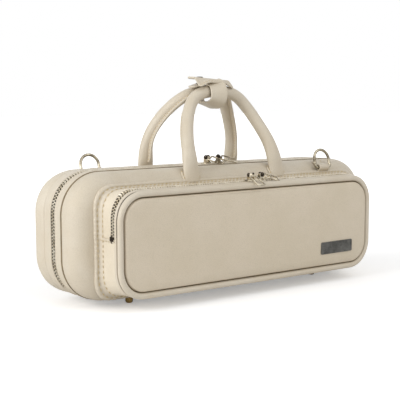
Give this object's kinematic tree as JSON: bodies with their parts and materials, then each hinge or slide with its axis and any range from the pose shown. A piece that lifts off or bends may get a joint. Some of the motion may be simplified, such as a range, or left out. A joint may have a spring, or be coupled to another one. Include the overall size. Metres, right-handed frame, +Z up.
{
  "type": "flute case",
  "caption": "Soft rectangular flute case with zipped gusset, zipped front pocket, wrapped carrying handles, rings and metal feet.",
  "frame": {"origin": "in the plane of the feet, midway between the four of them, under the main zip", "axes": "+X along the case's length, -Y towards the front pocket, +Z up"},
  "size_m": [0.4302, 0.1473, 0.2466],
  "materials": {
    "shell": "fine-grained leather cloth over a moulded shell",
    "leather": "fine-grained soft leather cloth, stitched",
    "welt": "welt cord covered in leather cloth",
    "zip_tape": "woven tape",
    "zip_teeth": "metal teeth on woven tape",
    "slider_metal": "polished pale gold",
    "foot_metal": "polished",
    "ring_metal": "polished pale gold plate",
    "plate_metal": "brushed, dark edge",
    "snap_metal": "dark, satin",
    "lining": "short plush",
    "foam": "plush-covered foam",
    "core": "cotton cord"
  },
  "bodies": {
    "case_rear": {"rear_shell": "shell", "rear_gusset": "leather", "rear_welt": "welt", "rear_lining": "lining", "rear_zip_tape": "zip_tape", "rear_zip_teeth": "zip_teeth", "zip_stop_left": "zip_teeth", "zip_stop_right": "zip_teeth", "flute_tray": "foam", "rear_foot_left": "foot_metal", "rear_foot_right": "foot_metal", "rear_handle_tab_left": "leather", "rear_handle_tab_right": "leather", "rear_ring_tab": "leather"},
    "lid": {"front_shell": "shell", "front_gusset": "leather", "front_welt": "welt", "front_lining": "lining", "front_zip_tape": "zip_tape", "front_zip_teeth": "zip_teeth", "lid_pad": "foam", "front_foot_left": "foot_metal", "front_foot_right": "foot_metal", "front_handle_tab_left": "leather", "front_handle_tab_right": "leather", "front_ring_tab": "leather", "pocket_binding": "leather", "pocket_band": "leather", "pocket_lower": "leather", "pocket_welt_lower": "leather", "pocket_zip_fixed": "zip_teeth", "pocket_stop_left": "zip_teeth", "pocket_stop_right": "zip_teeth", "name_plate": "plate_metal"},
    "pocket_flap": {"pocket_flap": "leather", "pocket_welt_flap": "leather", "pocket_zip_flap": "zip_teeth"},
    "front_handle": {"front_handle": "leather", "front_handle_core": "core", "wrap_front_leaf": "leather"},
    "wrap_flap": {"wrap_upper_flap": "leather", "snap_cap": "snap_metal"},
    "rear_handle": {"rear_handle": "leather", "rear_handle_core": "core", "wrap_rear_leaf": "leather", "snap_socket": "snap_metal"},
    "front_ring": {"front_ring": "ring_metal"},
    "rear_ring": {"rear_ring": "ring_metal"},
    "zip_slider_left": {"zip_slider_left": "slider_metal"},
    "zip_pull_left": {"zip_pull_left": "slider_metal"},
    "zip_slider_right": {"zip_slider_right": "slider_metal"},
    "zip_pull_right": {"zip_pull_right": "slider_metal"},
    "pocket_zip_slider_left": {"pocket_zip_slider_left": "slider_metal"},
    "pocket_zip_pull_left": {"pocket_zip_pull_left": "slider_metal"},
    "pocket_zip_slider_right": {"pocket_zip_slider_right": "slider_metal"},
    "pocket_zip_pull_right": {"pocket_zip_pull_right": "slider_metal"}
  },
  "joints": [
    {"name": "lid_hinge", "type": "hinge", "parent": "case_rear", "child": "lid", "pos_m": [0, 0, 0.0085], "axis": [1, 0, 0], "range_deg": [0, 120]},
    {"name": "pocket_flap_hinge", "type": "hinge", "parent": "lid", "child": "pocket_flap", "pos_m": [0, -0.0843, 0.0782], "axis": [1, 0, 0], "range_deg": [0, 100]},
    {"name": "front_handle_swing", "type": "hinge", "parent": "lid", "child": "front_handle", "pos_m": [0, -0.03639, 0.15566], "axis": [1, 0, 0], "range_deg": [0, 110]},
    {"name": "rear_handle_swing", "type": "hinge", "parent": "case_rear", "child": "rear_handle", "pos_m": [0, 0.04098, 0.15367], "axis": [-1, 0, 0], "range_deg": [0, 110]},
    {"name": "wrap_flap_hinge", "type": "hinge", "parent": "front_handle", "child": "wrap_flap", "pos_m": [-0.005, -0.009, 0.245], "axis": [1, 0, 0], "range_deg": [0, 150]},
    {"name": "front_ring_swivel", "type": "hinge", "parent": "lid", "child": "front_ring", "pos_m": [0.138, -0.04739, 0.13785], "axis": [1, 0, 0], "range_deg": [-30, 90]},
    {"name": "rear_ring_swivel", "type": "hinge", "parent": "case_rear", "child": "rear_ring", "pos_m": [-0.138, 0.04739, 0.13785], "axis": [-1, 0, 0], "range_deg": [-60, 150]},
    {"name": "zip_slider_left_run", "type": "slide", "parent": "case_rear", "child": "zip_slider_left", "axis": [-1, 0, 0], "range_m": [0, 0.14]},
    {"name": "zip_pull_left_swing", "type": "hinge", "parent": "zip_slider_left", "child": "zip_pull_left", "pos_m": [-0.007, 0, 0.1535], "axis": [-0.8829, -0.4695, 0], "range_deg": [0, 130]},
    {"name": "zip_slider_right_run", "type": "slide", "parent": "case_rear", "child": "zip_slider_right", "axis": [1, 0, 0], "range_m": [0, 0.14]},
    {"name": "zip_pull_right_swing", "type": "hinge", "parent": "zip_slider_right", "child": "zip_pull_right", "pos_m": [0.01, 0, 0.1535], "axis": [-0.6157, -0.788, 0], "range_deg": [0, 130]},
    {"name": "pocket_zip_slider_left_run", "type": "slide", "parent": "pocket_flap", "child": "pocket_zip_slider_left", "axis": [-1, 0, 0], "range_m": [0, 0.14]},
    {"name": "pocket_zip_pull_left_swing", "type": "hinge", "parent": "pocket_zip_slider_left", "child": "pocket_zip_pull_left", "pos_m": [0.0015, -0.0705, 0.1365], "axis": [-0.9994, -0.0349, 0], "range_deg": [0, 130]},
    {"name": "pocket_zip_slider_right_run", "type": "slide", "parent": "pocket_flap", "child": "pocket_zip_slider_right", "axis": [1, 0, 0], "range_m": [0, 0.091]},
    {"name": "pocket_zip_pull_right_swing", "type": "hinge", "parent": "pocket_zip_slider_right", "child": "pocket_zip_pull_right", "pos_m": [0.017, -0.0705, 0.1365], "axis": [-0.309, -0.9511, 0], "range_deg": [0, 130]}
  ],
  "couplings": [
    {"joint": "rear_handle_swing", "follows": "front_handle_swing", "ratio": 1}
  ]
}
